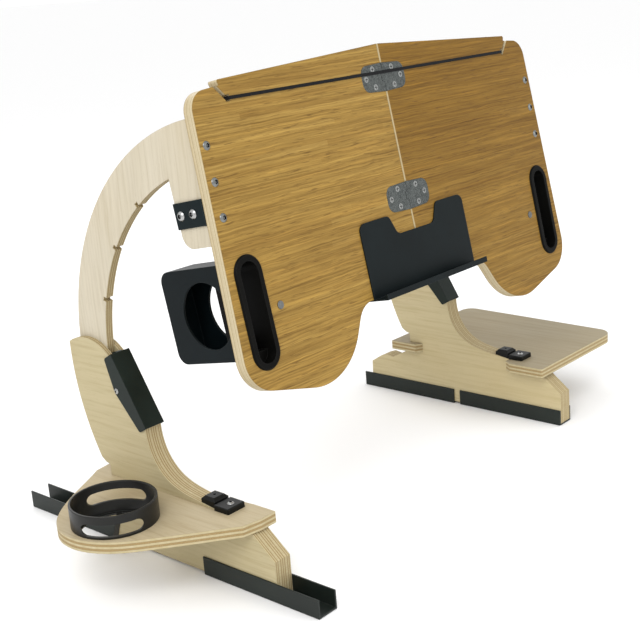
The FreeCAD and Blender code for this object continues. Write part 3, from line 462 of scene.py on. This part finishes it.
bamboo_mat = bamboo("bamboo_board")
metal_mat = black_coat("black_powder_coat", base=(0.0085, 0.0120, 0.0098), shine=0.26)
latch_mat = black_coat("latch_powder_coat", base=(0.0070, 0.0115, 0.0092), shine=0.17)
saddle_mat = black_coat("saddle_powder_coat", base=(0.0036, 0.0078, 0.0090), shine=0.09)
rest_mat = black_coat("rest_powder_coat", base=(0.0036, 0.0062, 0.0068), shine=0.10)
box_mat = black_coat("box_plastic", base=(0.0028, 0.0052, 0.0062), rough=(0.32, 0.46),
                     grain=2600.0, strength=0.12, shine=0.085)
# edge: colour of the rim's painted edge highlight
rim_mat = black_coat("rim_plastic", base=(0.0030, 0.0029, 0.0025), rough=(0.34, 0.50),
                     grain=2600.0, strength=0.12, edge=(0.030, 0.030, 0.028), shine=0.05)
ring_mat = black_coat("ring_plastic", base=(0.0085, 0.0085, 0.0076), rough=(0.32, 0.46),
                      grain=2600.0, strength=0.12, shine=0.26)
clip_mat = black_coat("clip_plastic", base=(0.0048, 0.0050, 0.0044), rough=(0.32, 0.46),
                      grain=2600.0, strength=0.12, shine=0.14)
zinc_mat = zinc("zinc_plate")
plug_mat = steel("plug_steel", tint=(0.20, 0.205, 0.20), socket=(0.015, 0.015, 0.015))
screw_mat = steel("dull_screw", tint=(0.24, 0.25, 0.245))
hinge_screw_mat = steel("hinge_screw", tint=(0.36, 0.37, 0.36))
steel_mat = steel("bright_steel", tint=(0.46, 0.465, 0.46))
knit_mat = knit("knitted_elastic")

BIRCH = {"arm": look(216, 206, 184), "cheek": look(203, 189, 150), "core": look(200, 186, 146),
         "cup_shelf": look(200, 184, 150), "mouse_tray": look(170, 158, 131)}


def birch_for(node):
    """Birch for one node: its layers pile up on X in a leg and on Z in a shelf."""
    shelf = node in SHELVES
    stack = 2 if shelf else 0
    grain = 2 if node.endswith("arm") else 1
    layers = SHELF_PLIES if shelf else CHEEK_PLIES if "cheek" in node else CORE_PLIES
    kind = node if shelf else next(k for k in BIRCH if k in node)
    low_end, high_end = (end[stack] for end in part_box(node))
    pale = RIGHT_PALE if node.startswith("right") else 1.0
    return birch("birch_" + node, stack, grain, low_end, (high_end - low_end) / layers,
                 tuple(c * pale for c in BIRCH[kind]), layers)


# the first entry whose words occur in a node's name decides its material
PAINTS = (
    (("leaf",), zinc_mat),
    (("plug",), plug_mat),
    (("page_band",), knit_mat),
    (("pocket_rim",), rim_mat),
    (("pocket_box",), box_mat),
    (("cup_ring",), ring_mat),
    (("clip_block", "clip_plate"), clip_mat),
    (("panel_screws",), screw_mat),
    (("hinge_screws",), hinge_screw_mat),
    (("pin", "spring", "screw", "bolts"), steel_mat),
    (("book_rest",), rest_mat),
    (("saddle",), saddle_mat),
    (("latch",), latch_mat),
    (("foot",), metal_mat),
)


def material_for(node):
    """The material of one node."""
    if node.endswith("panel"):
        return bamboo_mat
    if node in SHELVES or node.endswith("arm") or "cheek" in node or "core" in node:
        return birch_for(node)
    return next(mat for words, mat in PAINTS if any(word in node for word in words))


for node in NODES:
    paint(node, material_for(node))

# ---------------------------------------------------------------- floor, light, camera
bpy.ops.mesh.primitive_plane_add(size=FLOOR_SIZE, location=(0, 0, -FLOOR_DROP))
floor = bpy.context.object
floor.name = "studio_floor"
floor.data.materials.append(floor_paper("floor_paper"))

world = bpy.data.worlds.new("studio")
bpy.context.scene.world = world
world.use_nodes = True
world.node_tree.nodes["Background"].inputs["Color"].default_value = (1.0, 1.0, 1.0, 1.0)
world.node_tree.nodes["Background"].inputs["Strength"].default_value = SKY_STRENGTH


def area_light(name, place, aim, size, power):
    """A round soft light at place, turned towards aim."""
    data = bpy.data.lights.new(name, "AREA")
    data.shape = "DISK"
    data.size = size
    data.energy = power
    light = bpy.data.objects.new(name, data)
    bpy.context.scene.collection.objects.link(light)
    light.location = place
    light.rotation_euler = (Vector(aim) - Vector(place)).to_track_quat("-Z", "Y").to_euler()


area_light("key", (-2.0, -1.0, 2.2), centre, 1.6, 34)
area_light("fill", (0.6, -2.6, 1.4), centre, 2.2, 16)
area_light("back", (0.8, 2.2, 1.9), centre, 1.6, 14)

camera_data = bpy.data.cameras.new("camera")
camera_data.lens = CAMERA_LENS
camera_data.sensor_width = SENSOR
camera_data.clip_end = 500.0
camera = bpy.data.objects.new("camera", camera_data)
bpy.context.scene.collection.objects.link(camera)
ahead = Vector((math.sin(CAMERA_YAW) * math.cos(CAMERA_PITCH),
                math.cos(CAMERA_YAW) * math.cos(CAMERA_PITCH), math.sin(CAMERA_PITCH)))
level = Vector((math.cos(CAMERA_YAW), -math.sin(CAMERA_YAW), 0.0))
up = level.cross(ahead)
right = level * math.cos(CAMERA_ROLL) + up * math.sin(CAMERA_ROLL)
up = right.cross(ahead)
pose = Matrix((right, up, -ahead)).transposed().to_4x4()
pose.translation = CAMERA_PLACE
camera.matrix_world = pose
bpy.context.scene.camera = camera
bpy.context.scene.view_settings.view_transform = "Standard"
